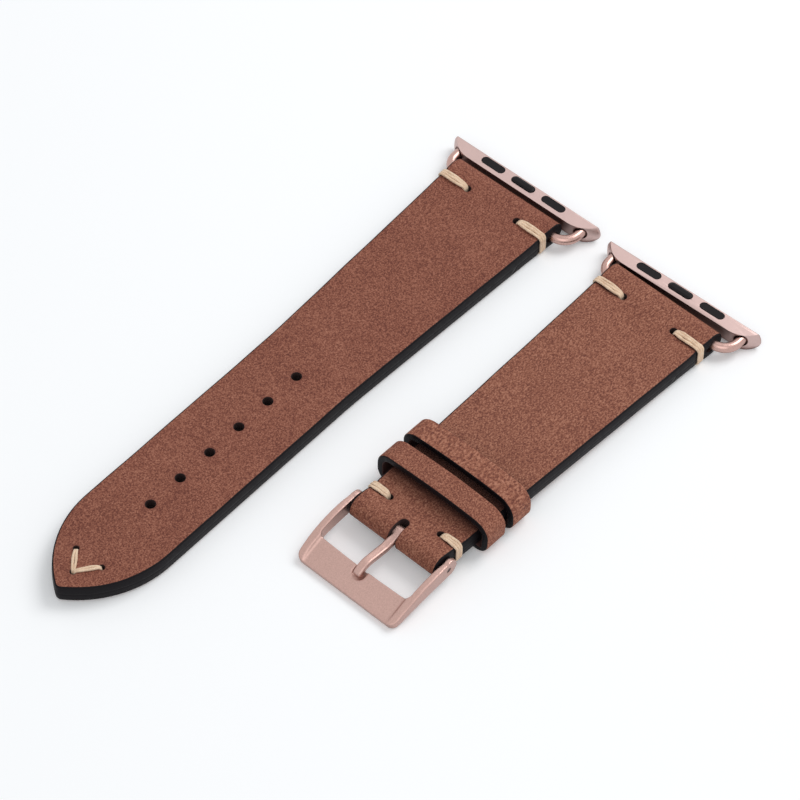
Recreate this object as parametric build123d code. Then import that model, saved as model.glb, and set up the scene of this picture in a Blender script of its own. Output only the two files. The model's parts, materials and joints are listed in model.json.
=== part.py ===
from build123d import *

import os
from math import asin, atan2, degrees, hypot, radians, sin

# Two-piece leather watch strap with case adapters, sewn loops, keepers and a pin buckle.
# All lengths are in millimetres. Each half is drawn level in a frame of its own: the origin is
# on the lug hinge, midway across the leather, +X runs towards the watch and +Z is up.

# Leather widths and lengths, measured from the lug hinge
lug_width = 22.0
tail_width = 17.7
buckle_end_width = 17.8
taper_length = 46.7
tip_start = 88.9
tip_length = 15.85
tip_nose_radius = 1.1
taper_blend_radius = 90.0
spring_bar_reach = 61.8

# Leather layers
long_thickness = 3.3
short_thickness = 3.0
lug_loop_radius = 2.0
lug_loop_reach = 2.5
buckle_loop_radius = 2.1
lug_swell_length = 7.0
buckle_swell_length = 5.2
lug_turn_under = 8.5
buckle_turn_under = 11.5
skive_length = 1.2
lining_edge_round = 0.5

# Punched holes in the tail
punched_hole_count = 6
punched_hole_pitch = 6.72
punched_hole_radius = 0.85
first_hole_reach = 50.1

# Sewing thread
thread_width = 1.2
thread_thickness = 0.45
stitch_hole_radius = 0.75
stitch_bite = 0.12
long_stitch_reach = 2.55
short_stitch_reach = 3.0
lug_stitch_across = 5.3
buckle_stitch_setback = 3.4
buckle_stitch_across = 5.35
tip_stitch_width = 0.9
tip_stitch_hole_radius = 0.55
tip_stitch_top_share = 0.536
tip_stitch_top_across = 2.72
tip_stitch_point_share = 0.757

# Wire bail that joins the leather to the case adapter
bail_wire_radius = 0.85
bail_side_reach = 2.1
bail_bend_radius = 2.7
bail_leg_reach = 4.9
bail_mouth_relief = 0.28
bail_mouth_depth = 0.55
loop_flare_length = 1.7
loop_flare_radius = 1.68
long_side_shift = 0.70
short_side_shift = 0.58
short_adapter_turn = 2.1

# Case adapter
adapter_horn = 1.9
adapter_front = 3.0
adapter_far = 5.68
adapter_top = 1.2
adapter_bottom = 1.88
adapter_far_top_round = 0.3
adapter_far_bottom_round = 1.1
adapter_front_round = 0.7
adapter_end_taper = 4.3
adapter_end_taper_below = 3.5
adapter_end_bulge = 0.65
adapter_bulge_height = -0.45
adapter_end_undercut = 0.5
adapter_corner_setback = 0.2

# Contact pads and sprung detent button in the adapter
pad_length = 4.75
pad_width = 1.55
pad_pitch = 6.45
pad_reach = 4.56
pad_depth = 0.9
pad_proud = 0.06
button_proud = 0.3
button_crown = 0.18
button_travel = 0.6
button_ear = 0.4
button_ear_thickness = 0.45
button_lip_depth = 0.9
leaf_flat_height = 0.15
leaf_thickness = 0.12
leaf_width = 1.1
leaf_length = 4.6

# Keepers
keeper_width = 4.3
keeper_wall = 1.25
keeper_side_gap = 0.45
keeper_inner_height = 4.25
keeper_crown = 0.5
keeper_foot_radius = 2.25
keeper_shoulder_radius = 3.0
fixed_keeper_setback = 9.6
keeper_gap = 1.7
free_keeper_travel = 10.0

# Pin buckle
buckle_length = 12.95
buckle_heel = 1.9
buckle_arm_half_height = 1.45
buckle_crest = 2.0
buckle_crest_share = 0.54
buckle_front_top = 0.65
buckle_front_bottom = 0.5
buckle_belly = 0.35
buckle_outer_rear_width = 20.2
buckle_outer_width = 20.8
buckle_outer_front_width = 20.2
buckle_inner_width = 18.4
buckle_corner_radius = 1.3
buckle_window_length = 8.15
buckle_window_bow = 0.2
buckle_window_corner = 0.8
plate_rim_height = 1.5
plate_front_height = 0.5
plate_wall = 1.0
plate_fillet = 0.75
tongue_rest_radius = 1.1
tongue_rest_depth = 0.3

# Buckle tongue
tongue_width = 1.5
tongue_thickness = 1.1
tongue_eye_radius = 1.3
tongue_root_height = 0.55
tongue_crest_share = 0.97
tongue_rise_share = 0.43
tongue_shoulder = 0.75
tongue_crest = 2.15
tongue_tip_overhang = 1.0
tongue_bend_radius = 3.0
tongue_edge_round = 0.35
slot_width = 1.75
slot_heel = 1.8

# Telescopic spring bar
bar_radius = 0.75
bar_bore_radius = 0.55
bar_end_gap = 0.3
bar_lip_length = 0.4
bar_tip_radius = 0.4
bar_tip_shoulder_radius = 0.5
bar_tip_shoulder_length = 1.6
bar_tip_travel = 1.0
spring_wire_radius = 0.16
spring_coil_radius = 0.36
spring_turns = 12

# Clearances
running_clearance = 0.05
seat_clearance = 0.03
slide_clearance = 0.1
overrun = 1.0

# How the two halves lie beside each other
short_half_back = 0.54
short_half_across = 33.82
short_half_turn = -1.16

quarter_turn = 90
lug_half = lug_width / 2
tail_half = tail_width / 2
buckle_end_half = buckle_end_width / 2
bar_x = -spring_bar_reach
short_end = bar_x - buckle_loop_radius
long_end = -(tip_start + tip_length)
tip_stitch_top = -(tip_start + tip_stitch_top_share * tip_length)
tip_stitch_point = -(tip_start + tip_stitch_point_share * tip_length)
bail_half_width = lug_half + bail_side_reach
adapter_top_half = bail_half_width + adapter_horn
adapter_length = 2 * (adapter_top_half + adapter_end_bulge)
fixed_keeper_x = bar_x + fixed_keeper_setback
free_keeper_x = fixed_keeper_x + keeper_width + keeper_gap
buckle_front = bar_x - buckle_length
buckle_window = bar_x - buckle_window_length
tongue_tip_x = buckle_window - buckle_window_bow - tongue_tip_overhang
spring_room = button_travel + leaf_flat_height
keeper_bottom = -(short_thickness / 2 + running_clearance + keeper_wall)


def across(x, z, radius, length, y=0):
    """Round bar that lies across the strap."""
    return Pos(x, y, z) * Rot(-quarter_turn, 0, 0) * Cylinder(radius, length)


def upright(x, y, radius, height, z=0):
    """Round bar that stands upright."""
    return Pos(x, y, z) * Cylinder(radius, height)


def side_extrusion(face, span):
    """A face drawn from the side, run across the strap to both sides."""
    return extrude(Plane.XZ * face, amount=span / 2, both=True)


def mirrored_across(shape):
    """The same shape on the other side of the strap's centre line."""
    return mirror(shape, about=Plane.XZ)


def leather_side_face(stations, loops):
    """Side view of the folded leather: flats and swells, with a round loop at each hinge."""
    upper = [(x, half) for x, half in stations]
    lower = [(x, -half) for x, half in reversed(stations)]
    face = make_face(Polyline(*upper, *lower, close=True))
    for x, reach, radius in loops:
        face += Pos(x, 0) * Ellipse(reach, radius)
    return face


def swell_half_height(distance, loop_radius, flat_half, swell):
    """Half thickness of the leather at a distance from a loop."""
    return loop_radius + (flat_half - loop_radius) * min(distance / swell, 1)


def lining_zone(front, back, below, span):
    """Space of the lining, under the mid plane, with its ends skived to a slope."""
    corners = [(front, 0), (front - skive_length, -below), (back, -below), (back, 0)]
    return side_extrusion(make_face(Polyline(*corners, close=True)), span)


def edge_stitch(x, hole_y, edge_y, half_height, side, grow=0):
    """Flat band of thread that goes down a hole, under the leather and round its edge."""
    near = hole_y + stitch_hole_radius - seat_clearance
    far = edge_y - stitch_bite
    low = thread_thickness - half_height
    high = half_height - stitch_bite
    centre = Pos((near + far) / 2, (low + high) / 2)
    wide, tall = far - near, high - low
    window = centre * Rectangle(wide - 2 * grow, tall - 2 * grow)
    reach = thread_thickness + grow
    band = centre * RectangleRounded(wide + 2 * reach, tall + 2 * reach, reach)
    ring = extrude(Plane.YZ.offset(x) * (band - window), amount=thread_width / 2 + grow, both=True)
    return ring if side > 0 else mirrored_across(ring)


def tip_stitch(half_height, grow=0):
    """Two slanted stitches that meet in a point near the tip, through three holes."""
    low_hole = (tip_stitch_point, 0)
    solid = None
    for side in (1, -1):
        high_hole = (tip_stitch_top, side * tip_stitch_top_across)
        along, over = high_hole[0] - low_hole[0], high_hole[1] - low_hole[1]
        middle = ((high_hole[0] + low_hole[0]) / 2, (high_hole[1] + low_hole[1]) / 2)
        turn = degrees(atan2(over, along))
        for z in (half_height - stitch_bite + thread_thickness / 2, thread_thickness / 2 - half_height):
            bar = Box(hypot(along, over), tip_stitch_width + 2 * grow, thread_thickness + 2 * grow)
            bar = Pos(middle[0], middle[1], z) * Rot(0, 0, turn) * bar
            solid = bar if solid is None else solid + bar
        solid += upright(*high_hole, tip_stitch_width / 2 + grow, 2 * half_height)
    return solid + upright(*low_hole, tip_stitch_width / 2 + grow, 2 * half_height)


def adapter_place(shift, turn):
    """Where an adapter and its bail sit in their half: shifted across and turned a little."""
    return Pos(0, -shift, 0) * Rot(0, 0, turn)


def lug_loop_bore(span, shift, turn):
    """Bore for the bail's crossbar, flared where the wire starts to bend."""
    bore = across(0, 0, bail_wire_radius + running_clearance, span)
    reach = lug_half - loop_flare_length / 2 + running_clearance
    flare = Cone(bail_wire_radius + running_clearance, loop_flare_radius, loop_flare_length)
    flare = Pos(0, reach, 0) * Rot(-quarter_turn, 0, 0) * flare
    return adapter_place(shift, turn) * Pos(0, shift, 0) * (bore + flare + mirrored_across(flare))


def long_plan():
    """Plan of the long half: tapering sides, parallel tail and a spear tip."""
    apex = (long_end, 0)
    side = Polyline((lug_loop_reach, lug_half), (-taper_length, tail_half), (-tip_start, tail_half))
    bow = TangentArc((-tip_start, tail_half), apex, tangent=(-1, 0))
    outline = side + bow + mirrored_across(side) + mirrored_across(bow)
    outline += Line((lug_loop_reach, lug_half), (lug_loop_reach, -lug_half))
    face = make_face(outline)
    face = fillet(face.vertices().sort_by(Axis.X)[0], tip_nose_radius)
    shoulders = face.vertices().filter_by_position(
        Axis.X, -taper_length - overrun, -taper_length + overrun
    )
    return fillet(shoulders, taper_blend_radius)


def long_leathers(nodes):
    """Top leather, lining and threads of the long half."""
    flat_half = long_thickness / 2
    stations = [(0, lug_loop_radius), (-lug_swell_length, flat_half), (long_end, flat_half)]
    body = side_extrusion(leather_side_face(stations, [(0, lug_loop_reach, lug_loop_radius)]), lug_width)
    body = body & extrude(long_plan(), amount=lug_width, both=True)
    body -= lug_loop_bore(lug_width + overrun, long_side_shift, 0)
    for number in range(punched_hole_count):
        x = -(first_hole_reach + number * punched_hole_pitch)
        body -= upright(x, 0, punched_hole_radius, long_thickness + overrun)
    holes = [(tip_stitch_top, side * tip_stitch_top_across) for side in (1, -1)]
    for x, y in holes + [(tip_stitch_point, 0)]:
        body -= upright(x, y, tip_stitch_hole_radius, long_thickness + overrun)
    body -= tip_stitch(flat_half, seat_clearance)
    nodes["tip_stitch"] = tip_stitch(flat_half)
    edge = lug_half - (lug_half - tail_half) * long_stitch_reach / taper_length
    half_height = swell_half_height(long_stitch_reach, lug_loop_radius, flat_half, lug_swell_length)
    for side, word in ((1, "left"), (-1, "right")):
        place = (-long_stitch_reach, lug_stitch_across, edge, half_height, side)
        hole_y = side * lug_stitch_across
        body -= upright(-long_stitch_reach, hole_y, stitch_hole_radius, 2 * lug_loop_radius + overrun)
        body -= edge_stitch(*place, seat_clearance)
        nodes[f"long_lug_stitch_{word}"] = edge_stitch(*place)
    zone = lining_zone(-lug_turn_under, long_end - overrun, lug_loop_radius, lug_width + overrun)
    nodes["long_top_leather"] = body - zone
    nodes["long_lining"] = body & zone


def short_half_width(x):
    """Half width of the short half, which tapers evenly from the lug to the buckle."""
    return lug_half - (lug_half - buckle_end_half) * (-x) / spring_bar_reach


def short_leathers(nodes):
    """Top leather, lining and threads of the short half."""
    flat_half = short_thickness / 2
    stations = [(0, lug_loop_radius), (-lug_swell_length, flat_half)]
    stations += [(bar_x + buckle_swell_length, flat_half), (bar_x, buckle_loop_radius)]
    loops = [(0, lug_loop_reach, lug_loop_radius), (bar_x, buckle_loop_radius, buckle_loop_radius)]
    body = side_extrusion(leather_side_face(stations, loops), lug_width + overrun)
    corners = [(x, side * short_half_width(x)) for x, side in (
        (lug_loop_reach, 1), (short_end, 1), (short_end, -1), (lug_loop_reach, -1))]
    body = body & extrude(make_face(Polyline(*corners, close=True)), amount=lug_width, both=True)
    body -= lug_loop_bore(lug_width + overrun, short_side_shift, short_adapter_turn)
    body -= across(bar_x, 0, bar_radius + running_clearance, lug_width)
    slot_end = bar_x + slot_heel - slot_width / 2
    slot_length = slot_end - short_end + overrun
    body -= Pos(slot_end - slot_length / 2, 0, 0) * Box(slot_length, slot_width, lug_width)
    body -= upright(slot_end, 0, slot_width / 2, lug_width)
    lug_row = ("lug", -short_stitch_reach, lug_stitch_across)
    buckle_row = ("buckle", bar_x + buckle_stitch_setback, buckle_stitch_across)
    lug_loop = (short_stitch_reach, lug_loop_radius, flat_half, lug_swell_length)
    buckle_loop = (buckle_stitch_setback, buckle_loop_radius, flat_half, buckle_swell_length)
    for (row, x, hole_y), loop in ((lug_row, lug_loop), (buckle_row, buckle_loop)):
        half_height = swell_half_height(*loop)
        for side, word in ((1, "left"), (-1, "right")):
            place = (x, hole_y, short_half_width(x), half_height, side)
            body -= upright(x, side * hole_y, stitch_hole_radius, 2 * lug_loop_radius + overrun)
            body -= edge_stitch(*place, seat_clearance)
            nodes[f"short_{row}_stitch_{word}"] = edge_stitch(*place)
    back = bar_x + buckle_turn_under
    zone = lining_zone(-lug_turn_under, back, lug_loop_radius, lug_width + overrun)
    nodes["short_top_leather"] = body - zone
    lining = body & zone
    lower_edges = lining.edges().group_by(Axis.Z)[0].filter_by(
        lambda edge: abs(edge.center().Y) > buckle_end_half - overrun)
    nodes["short_lining"] = fillet(lower_edges, lining_edge_round)


def adapter_plan(taper, half):
    """Plan of the adapter: straight far edge, and a front edge that sweeps back at both ends."""
    corner = (adapter_far - adapter_corner_setback, half)
    turn = (adapter_front, half - taper)
    back = (adapter_far + overrun, half)
    bow = TangentArc(turn, corner, tangent=(0, 1))
    edges = bow + Line(corner, back) + mirrored_across(bow) + mirrored_across(Line(corner, back))
    edges += Line((back[0], back[1]), (back[0], -back[1]))
    edges += Line((turn[0], turn[1]), (turn[0], -turn[1]))
    return make_face(edges)


def stadium(length, width):
    """Round-ended pad outline, long way across the strap."""
    return Rot(0, 0, quarter_turn) * SlotOverall(length, width)


def bail_wire(radius, leg_reach):
    """Wire bent to a square U: a crossbar in the leather loop and two legs in the adapter."""
    corners = [(leg_reach, bail_half_width), (0, bail_half_width)]
    corners += [(0, -bail_half_width), (leg_reach, -bail_half_width)]
    path = FilletPolyline(*corners, radius=bail_bend_radius)
    return sweep(Plane(origin=path @ 0, z_dir=path % 0) * Circle(radius), path=path)


def adapter_parts(half_name, shift, turn, nodes):
    """Case adapter with its bail, two pads, and the detent button on its leaf spring."""
    place = adapter_place(shift, turn)
    height = adapter_top + adapter_bottom
    middle = ((adapter_front + adapter_far) / 2, (adapter_top - adapter_bottom) / 2)
    face = Pos(*middle) * Rectangle(adapter_far - adapter_front, height)
    corners = face.vertices().sort_by(Axis.X)
    front, far = corners[:2].sort_by(Axis.Y), corners[2:].sort_by(Axis.Y)
    face = fillet(front[0], adapter_front_round)
    face = fillet(face.vertices().sort_by_distance(far[0])[0], adapter_far_bottom_round)
    face = fillet(face.vertices().sort_by_distance(far[1])[0], adapter_far_top_round)
    widest = adapter_length / 2
    ends = loft([
        Pos(0, 0, -adapter_bottom) * adapter_plan(adapter_end_taper_below, widest - adapter_end_undercut),
        Pos(0, 0, adapter_bulge_height) * adapter_plan(adapter_end_taper, widest),
        Pos(0, 0, adapter_top) * adapter_plan(adapter_end_taper, adapter_top_half),
    ])
    body = side_extrusion(face, adapter_length) & ends

    leg_hole = bail_leg_reach + seat_clearance
    for side in (1, -1):
        y = side * bail_half_width
        bore = Pos(leg_hole / 2, y, 0) * Rot(0, quarter_turn, 0)
        body -= bore * Cylinder(bail_wire_radius + seat_clearance, leg_hole)
        mouth = adapter_front + 2 * bail_mouth_depth
        relief = Pos(mouth / 2, y, 0) * Rot(0, quarter_turn, 0)
        body -= relief * Cylinder(bail_wire_radius + bail_mouth_relief, mouth)

    pocket_floor = adapter_top - pad_depth
    for side, word in ((1, "left"), (-1, "right")):
        seat = Pos(pad_reach, side * pad_pitch, pocket_floor)
        body -= seat * extrude(stadium(pad_length, pad_width), amount=pad_depth + overrun)
        outline = stadium(pad_length - 2 * seat_clearance, pad_width - 2 * seat_clearance)
        pad = extrude(outline, amount=pad_depth + pad_proud)
        pad = chamfer(pad.edges().group_by(Axis.Z)[-1], pad_proud)
        nodes[f"{half_name}_pad_{word}"] = place * seat * pad

    lip_under = adapter_top - button_lip_depth
    ear_top = lip_under - slide_clearance
    ear_bottom = ear_top - button_ear_thickness
    floor = ear_bottom - spring_room
    mouth = extrude(stadium(pad_length, pad_width), amount=2 * button_lip_depth)
    chamber = extrude(stadium(pad_length + 2 * button_ear, pad_width), amount=lip_under - floor)
    body -= Pos(pad_reach, 0, lip_under) * mouth + Pos(pad_reach, 0, floor) * chamber
    head_length, head_width = pad_length - 2 * slide_clearance, pad_width - 2 * slide_clearance
    head_top = adapter_top + button_proud
    head = Pos(0, 0, ear_bottom) * extrude(stadium(head_length, head_width), amount=head_top - ear_bottom)
    head = chamfer(head.edges().group_by(Axis.Z)[-1], length=button_crown, length2=2 * button_crown)
    ears = Pos(0, 0, ear_bottom) * extrude(
        stadium(head_length + 2 * button_ear, head_width), amount=button_ear_thickness)
    nodes[f"{half_name}_detent_button"] = place * Pos(pad_reach, 0, 0) * (head + ears)

    rise = spring_room - 2 * seat_clearance
    foot = floor + seat_clearance
    half = leaf_length / 2
    outer = ThreePointArc((-half, foot), (0, foot + rise), (half, foot))
    inner = ThreePointArc(
        (leaf_thickness - half, foot), (0, foot + rise - leaf_thickness), (half - leaf_thickness, foot))
    feet = Line(outer @ 0, inner @ 0) + Line(outer @ 1, inner @ 1)
    face = Plane.YZ.offset(pad_reach) * make_face(outer + inner + feet)
    leaf = extrude(face, amount=leaf_width / 2, both=True)
    nodes[f"{half_name}_detent_leaf_spring"] = place * leaf

    nodes[f"{half_name}_adapter_body"] = place * body
    nodes[f"{half_name}_bail"] = place * bail_wire(bail_wire_radius, bail_leg_reach)


def keeper(x):
    """Leather band round the strap, flat below, with rounded shoulders and a slight crown."""
    widest_leather = short_half_width(free_keeper_x + keeper_width / 2 + free_keeper_travel)
    half_width = widest_leather + keeper_side_gap + keeper_wall
    low = keeper_bottom
    high = low + keeper_inner_height + 2 * keeper_wall
    foot = Polyline((-half_width, high), (-half_width, low), (half_width, low), (half_width, high))
    crown = ThreePointArc(foot @ 0, (0, high + keeper_crown), foot @ 1)
    face = make_face(foot + crown)
    corners = face.vertices().sort_by(Axis.Y)
    face = fillet(corners[:2], keeper_foot_radius)
    corners = face.vertices().sort_by(Axis.Y)
    face = fillet(corners[-2:], keeper_shoulder_radius)
    band = face - offset(face, amount=-keeper_wall)
    return extrude(Plane.YZ.offset(x) * band, amount=keeper_width / 2, both=True)


def buckle_side_face():
    """Side view of the buckle frame: round heel at the pin, low arch, thin front edge."""
    front = buckle_front
    crest_x = bar_x - buckle_length * buckle_crest_share
    top_start, bottom_start = (bar_x, buckle_arm_half_height), (bar_x, -buckle_arm_half_height)
    heel = ThreePointArc(bottom_start, (bar_x + buckle_heel, 0), top_start)
    top = ThreePointArc(top_start, (crest_x, buckle_crest), (front, buckle_front_top))
    nose = Line((front, buckle_front_top), (front, -buckle_front_bottom))
    belly = ThreePointArc((front, -buckle_front_bottom), (crest_x, -buckle_belly), bottom_start)
    return make_face(heel + top + nose + belly)


def buckle_plan():
    """Plan of the frame: bowed arms, rounded front corners and the window for the tail."""
    rear, front = bar_x + buckle_heel, buckle_front
    middle = (rear + front) / 2
    arm = ThreePointArc((rear, buckle_outer_rear_width / 2), (middle, buckle_outer_width / 2),
                        (front, buckle_outer_front_width / 2))
    outline = arm + mirrored_across(arm)
    for x, width in ((rear, buckle_outer_rear_width), (front, buckle_outer_front_width)):
        outline += Line((x, width / 2), (x, -width / 2))
    face = make_face(outline)
    face = fillet(face.vertices().sort_by(Axis.X)[:2], buckle_corner_radius)
    inner = buckle_inner_width / 2
    sides = Polyline((buckle_window, inner), (rear + overrun, inner),
                     (rear + overrun, -inner), (buckle_window, -inner))
    bow = ThreePointArc(sides @ 0, (buckle_window - buckle_window_bow, 0), sides @ 1)
    window = make_face(sides + bow)
    window = fillet(window.vertices().sort_by(Axis.X)[:2], buckle_window_corner)
    return face - window


def plate_slope():
    """Fall of the sunk plate from the window to the front edge, per millimetre."""
    return (plate_rim_height - plate_front_height) / (buckle_window - buckle_front)


def tongue_rest_height():
    """Height of the floor of the recess that the tongue's tip drops into."""
    plate = plate_front_height + plate_slope() * (tongue_tip_x - buckle_front)
    return plate - tongue_rest_depth


def buckle_frame():
    """Frame of the pin buckle, with the sunk plate that the tongue rests on."""
    frame = side_extrusion(buckle_side_face(), buckle_outer_width + overrun)
    frame = frame & extrude(buckle_plan(), amount=buckle_outer_width, both=True)
    span = buckle_outer_front_width - 2 * plate_wall
    tall = 2 * buckle_crest
    long = buckle_window - buckle_front + 2 * overrun
    tray = Box(long, span, tall)
    tray = fillet(tray.edges().filter_by(Axis.X).group_by(Axis.Z)[0], plate_fillet)
    middle = (buckle_window + buckle_front) / 2
    height = (plate_rim_height + plate_front_height) / 2
    tilt = Rot(0, -degrees(atan2(plate_slope(), 1)), 0)
    frame -= Pos(middle, 0, height) * tilt * Pos(0, 0, tall / 2) * tray
    notch_length = buckle_window + overrun - tongue_tip_x
    notch = Pos(notch_length / 2, 0, tall / 2) * Box(notch_length, 2 * tongue_rest_radius, tall)
    rest = notch + upright(0, 0, tongue_rest_radius, tall, tall / 2)
    frame -= Pos(tongue_tip_x, 0, tongue_rest_height()) * rest
    frame -= across(bar_x, 0, bar_tip_radius + running_clearance, buckle_outer_width + overrun)
    return frame


def tongue():
    """Buckle tongue: an eye round the spring bar and an arm that drops onto the plate."""
    tip_x = tongue_tip_x
    tip_z = tongue_rest_height() + running_clearance + tongue_thickness / 2
    crest_reach = buckle_window_length * tongue_crest_share
    rise = (bar_x - crest_reach * tongue_rise_share, tongue_shoulder)
    crest = (bar_x - crest_reach, tongue_crest)
    root, tip = (bar_x, tongue_root_height), (tip_x, tip_z)
    path = FilletPolyline(root, rise, crest, tip, radius=tongue_bend_radius)
    face = trace(path, line_width=tongue_thickness)
    face += Pos(tip_x, tip_z) * Circle(tongue_thickness / 2)
    face += Pos(bar_x, 0) * Circle(tongue_eye_radius)
    face -= Pos(bar_x, 0) * Circle(bar_radius + running_clearance)
    arm = side_extrusion(face, tongue_width)
    rims = arm.edges().filter_by(
        lambda edge: abs(edge.center().Y) > tongue_width / 2 - seat_clearance
        and edge.center().X < bar_x - tongue_eye_radius)
    return fillet(rims, tongue_edge_round)


def spring_bar(nodes):
    """Telescopic bar: a tube with drawn-in ends, two sprung tips and the coil between them."""
    half = buckle_inner_width / 2 - bar_end_gap
    tube = across(bar_x, 0, bar_radius, 2 * half)
    tube -= across(bar_x, 0, bar_bore_radius, 2 * (half - bar_lip_length))
    tube -= across(bar_x, 0, bar_tip_radius + running_clearance, 2 * half + overrun)
    nodes["spring_bar_tube"] = tube
    shoulder_end = half - bar_lip_length - seat_clearance
    tip_end = half + bar_end_gap + bar_tip_travel - running_clearance
    nose_length = tip_end - shoulder_end
    for side, word in ((1, "left"), (-1, "right")):
        y = side * (shoulder_end - bar_tip_shoulder_length / 2)
        tip = across(bar_x, 0, bar_tip_shoulder_radius, bar_tip_shoulder_length, y)
        nose = across(bar_x, 0, bar_tip_radius, nose_length, side * (shoulder_end + nose_length / 2))
        nodes[f"spring_bar_tip_{word}"] = tip + nose
    room = 2 * (shoulder_end - bar_tip_shoulder_length - seat_clearance) - 2 * spring_wire_radius
    path = Helix(pitch=room / spring_turns, height=room, radius=spring_coil_radius)
    section = Plane(origin=path @ 0, z_dir=path % 0) * Circle(spring_wire_radius)
    wire = sweep(section, path=path, is_frenet=True)
    nodes["spring_bar_spring"] = Pos(bar_x, -room / 2, 0) * Rot(-quarter_turn, 0, 0) * wire


def short_half_pitch():
    """Nose-down angle at which the lug loop and the free keeper both touch the table."""
    reach = -(free_keeper_x + keeper_width / 2)
    drop = -keeper_bottom
    return degrees(atan2(drop, reach) - asin(lug_loop_radius / hypot(reach, drop)))


def buckle_droop():
    """Nose-down angle of the buckle on its bar at which its front edge rests on the table."""
    bar_height = lug_loop_radius + spring_bar_reach * sin(radians(short_half_pitch()))
    swing = hypot(buckle_length, buckle_front_bottom)
    below_level = asin(bar_height / swing) - atan2(buckle_front_bottom, buckle_length)
    return degrees(below_level) + short_half_pitch()


long_nodes, short_nodes = {}, {}
long_leathers(long_nodes)
adapter_parts("long", long_side_shift, 0, long_nodes)
short_leathers(short_nodes)
adapter_parts("short", short_side_shift, short_adapter_turn, short_nodes)
short_nodes["fixed_keeper"] = keeper(fixed_keeper_x)
short_nodes["free_keeper"] = keeper(free_keeper_x)
droop = Pos(bar_x, 0, 0) * Rot(0, -buckle_droop(), 0) * Pos(-bar_x, 0, 0)
short_nodes["buckle_frame"] = droop * buckle_frame()
short_nodes["buckle_tongue"] = droop * tongue()
spring_bar(short_nodes)

long_place = Pos(0, 0, lug_loop_radius)
short_place = Pos(-short_half_back, -short_half_across, lug_loop_radius)
short_place = short_place * Rot(0, 0, short_half_turn) * Rot(0, short_half_pitch(), 0)
nodes = {name: long_place * solid for name, solid in long_nodes.items()}
nodes.update({name: short_place * solid for name, solid in short_nodes.items()})

# The origin is under the middle of the pair, on the table
box = Compound(list(nodes.values())).bounding_box()
centring = Pos(-box.center().X, -box.center().Y, -box.min.Z)

os.makedirs("parts", exist_ok=True)
for name, solid in nodes.items():
    export_step(centring * solid, f"parts/{name}.step")


def report(label, place, point, direction):
    """Print a place and a direction of the finished part."""
    at = (centring * place * Pos(*point)).position
    tip = (centring * place * Pos(*point) * Pos(*direction)).position
    print(label, [round(v, 4) for v in at], [round(v, 8) for v in tip - at])


print("size", box.size)
report("long_lug_hinge", long_place, (0, -long_side_shift, 0), (0, 1, 0))
report("short_lug_hinge", short_place * adapter_place(short_side_shift, short_adapter_turn), (0, 0, 0), (0, 1, 0))
report("buckle_hinge", short_place, (bar_x, 0, 0), (0, 1, 0))
print("buckle droop", round(buckle_droop(), 3))
report("along the short half", short_place, (0, 0, 0), (1, 0, 0))
report("short half up", short_place, (0, 0, 0), (0, 0, 1))
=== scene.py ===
import json
import math

import bpy
import numpy as np
from mathutils import Matrix, Vector
from mathutils.geometry import delaunay_2d_cdt

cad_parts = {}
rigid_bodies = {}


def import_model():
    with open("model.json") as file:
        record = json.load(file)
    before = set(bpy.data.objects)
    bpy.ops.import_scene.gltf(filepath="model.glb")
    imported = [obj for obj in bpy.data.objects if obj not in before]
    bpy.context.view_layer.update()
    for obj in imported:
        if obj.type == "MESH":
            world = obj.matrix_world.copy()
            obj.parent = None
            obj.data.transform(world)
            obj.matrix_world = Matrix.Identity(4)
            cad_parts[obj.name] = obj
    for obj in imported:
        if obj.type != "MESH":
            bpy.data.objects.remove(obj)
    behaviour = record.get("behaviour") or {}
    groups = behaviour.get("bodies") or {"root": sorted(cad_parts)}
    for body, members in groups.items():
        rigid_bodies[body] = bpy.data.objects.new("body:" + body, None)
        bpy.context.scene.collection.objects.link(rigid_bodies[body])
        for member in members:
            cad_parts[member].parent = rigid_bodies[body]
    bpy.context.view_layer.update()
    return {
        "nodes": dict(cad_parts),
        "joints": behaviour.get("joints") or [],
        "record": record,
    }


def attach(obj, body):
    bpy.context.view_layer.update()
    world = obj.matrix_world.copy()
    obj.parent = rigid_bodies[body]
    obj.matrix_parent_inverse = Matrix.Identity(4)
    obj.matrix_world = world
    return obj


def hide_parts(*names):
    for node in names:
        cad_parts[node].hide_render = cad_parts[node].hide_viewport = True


for leftover in list(bpy.data.objects):
    bpy.data.objects.remove(leftover)

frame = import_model()

# Two-piece leather watch strap with case adapters, seen from above on a pale table.
# Lengths are in millimetres in the frame of one half: the origin is on the lug hinge, midway
# across the leather, +X runs towards the watch, +Y across to the left and +Z up.
mm = 0.001

# Camera, with angles in degrees and lengths in millimetres of the shared frame
camera_azimuth = -48.67
camera_elevation = 51.79
camera_distance = 671.27
camera_aim = (7.813, 3.148, 1.5)
camera_lens = 190.97

# Leather widths and lengths, measured from the lug hinge
lug_width = 22.0
tail_width = 17.7
buckle_end_width = 17.8
taper_length = 46.7
taper_blend = 2.0
tip_start = 88.9
tip_length = 15.85
tip_nose_radius = 1.1
spring_bar_reach = 61.8

# Leather layers, and the loops at their ends
long_thickness = 3.3
short_thickness = 3.0
lug_loop_radius = 2.0
lug_loop_reach = 2.5
lug_bore_radius = 0.9
buckle_loop_radius = 2.1
buckle_bore_radius = 0.8
bore_run_out = 1.5
lug_swell_length = 7.0
buckle_swell_length = 5.2
lug_turn_under = 8.5
buckle_turn_under = 11.5
skive_length = 1.2

# Leather finish: rounded painted edges, punched holes and the give round a stitch
edge_round = 0.25
edge_crown = 0.1
edge_spread = 0.09
seam_round = 0.012
hole_round = 0.1
# Reach of the darker leather round each hole
hole_darkening_reach = 0.4
rim_steps = 6
hole_from_step = 2
wall_steps = 4
grid_step = 0.75
fold_step = 0.3
fold_margin = 0.5
surface_wave = 0.035
stitch_dip = 0.16
stitch_dip_width = 0.9
stitch_pinch = 0.16

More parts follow.
